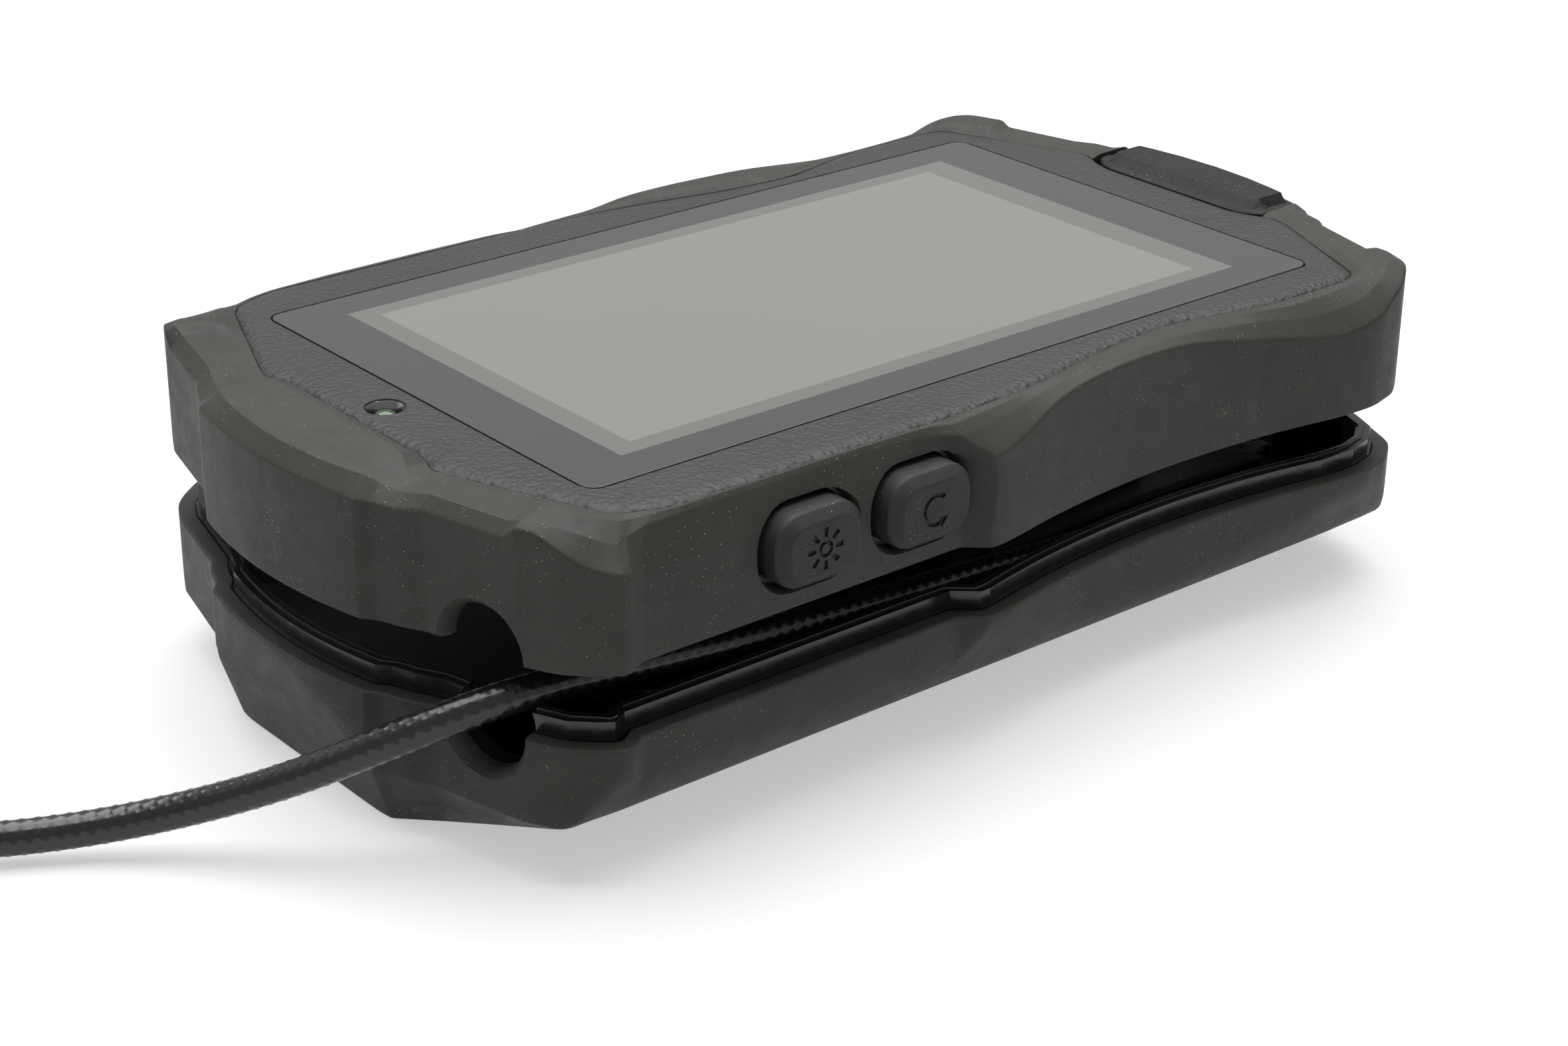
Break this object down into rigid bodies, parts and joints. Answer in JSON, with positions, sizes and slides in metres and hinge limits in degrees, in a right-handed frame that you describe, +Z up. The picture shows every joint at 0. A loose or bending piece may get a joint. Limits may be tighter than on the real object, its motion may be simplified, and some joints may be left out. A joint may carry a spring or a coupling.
{
  "type": "inspection camera",
  "caption": "Handheld borescope whose rubber-armoured display half lifts on guide pins off a magazine that stores its wound probe cable.",
  "frame": {"origin": "centre of the base on the surface it stands on", "axes": "+Y to the end with the sockets, +X to the side with the light and rotate buttons and the cable outlet, +Z up through the screen"},
  "size_m": [0.0961, 0.2412, 0.042],
  "materials": {
    "rubber": "fine-grained charcoal overmould",
    "bezel": "spark-textured grey",
    "case_plastic": "smooth black",
    "lens": "clear window with a grey printed border",
    "display": "switched-off display",
    "steel": "bright zinc",
    "head_steel": "turned stainless steel",
    "cable": "ribbed satin black",
    "board": "green solder mask",
    "cell": "foil pouch",
    "switch": "black",
    "connector": "plated shell",
    "felt": "pressed felt",
    "bush": "natural acetal",
    "led": "green tinted lens",
    "gasket": "foam",
    "ribbon": "amber film",
    "head_window": "polished",
    "lamp": "clear resin over white lamps"
  },
  "bodies": {
    "magazine": {"lower_overmould": "rubber", "lower_tub": "case_plastic", "cable_core": "case_plastic", "core_cover": "case_plastic", "guide_block": "case_plastic", "core_screws": "steel", "guide_bushes": "bush", "friction_rings": "felt", "flex_lead": "ribbon", "cable_gland": "cable", "wound_cable": "cable", "probe_cable": "cable", "camera_head": "head_steel", "head_ferrule": "cable", "head_lamp_ring": "lamp", "head_lens": "head_window"},
    "monitor": {"monitor_overmould": "rubber", "monitor_back": "case_plastic", "closing_collar": "case_plastic", "front_bezel": "bezel", "lens_glass": "lens", "lcd_panel": "display", "display_gasket": "gasket", "housing_screws": "steel", "main_board": "board", "battery": "cell", "led_board": "board", "status_led": "led", "right_switch_board": "board", "left_switch_board": "board", "push_switches": "switch", "video_jack": "switch", "usb_socket": "connector", "card_slot": "connector", "guide_pins": "steel", "stop_washers": "steel", "stop_screws": "steel", "cover_hinge_pin": "steel"},
    "light_button": {"light_button": "rubber"},
    "rotate_button": {"rotate_button": "rubber"},
    "power_button": {"power_button": "rubber"},
    "zoom_button": {"zoom_button": "rubber"},
    "port_cover": {"port_cover": "rubber"}
  },
  "joints": [
    {"name": "case_lift", "type": "slide", "parent": "magazine", "child": "monitor", "axis": [0, 0, 1], "range_m": [-0.0085, 0], "deforming": ["flex_lead"]},
    {"name": "light_button_press", "type": "slide", "parent": "monitor", "child": "light_button", "axis": [-1, 0, 0], "range_m": [0, 0.0008], "stiffness_N_per_m": 1500, "springref_m": -0.0005},
    {"name": "rotate_button_press", "type": "slide", "parent": "monitor", "child": "rotate_button", "axis": [-1, 0, 0], "range_m": [0, 0.0008], "stiffness_N_per_m": 1500, "springref_m": -0.0005},
    {"name": "power_button_press", "type": "slide", "parent": "monitor", "child": "power_button", "axis": [1, 0, 0], "range_m": [0, 0.0008], "stiffness_N_per_m": 1500, "springref_m": -0.0005},
    {"name": "zoom_button_press", "type": "slide", "parent": "monitor", "child": "zoom_button", "axis": [1, 0, 0], "range_m": [0, 0.0008], "stiffness_N_per_m": 1500, "springref_m": -0.0005},
    {"name": "port_cover_hinge", "type": "hinge", "parent": "monitor", "child": "port_cover", "pos_m": [0, 0.0752, 0.0298], "axis": [-1, 0, 0], "range_deg": [0, 100]}
  ]
}
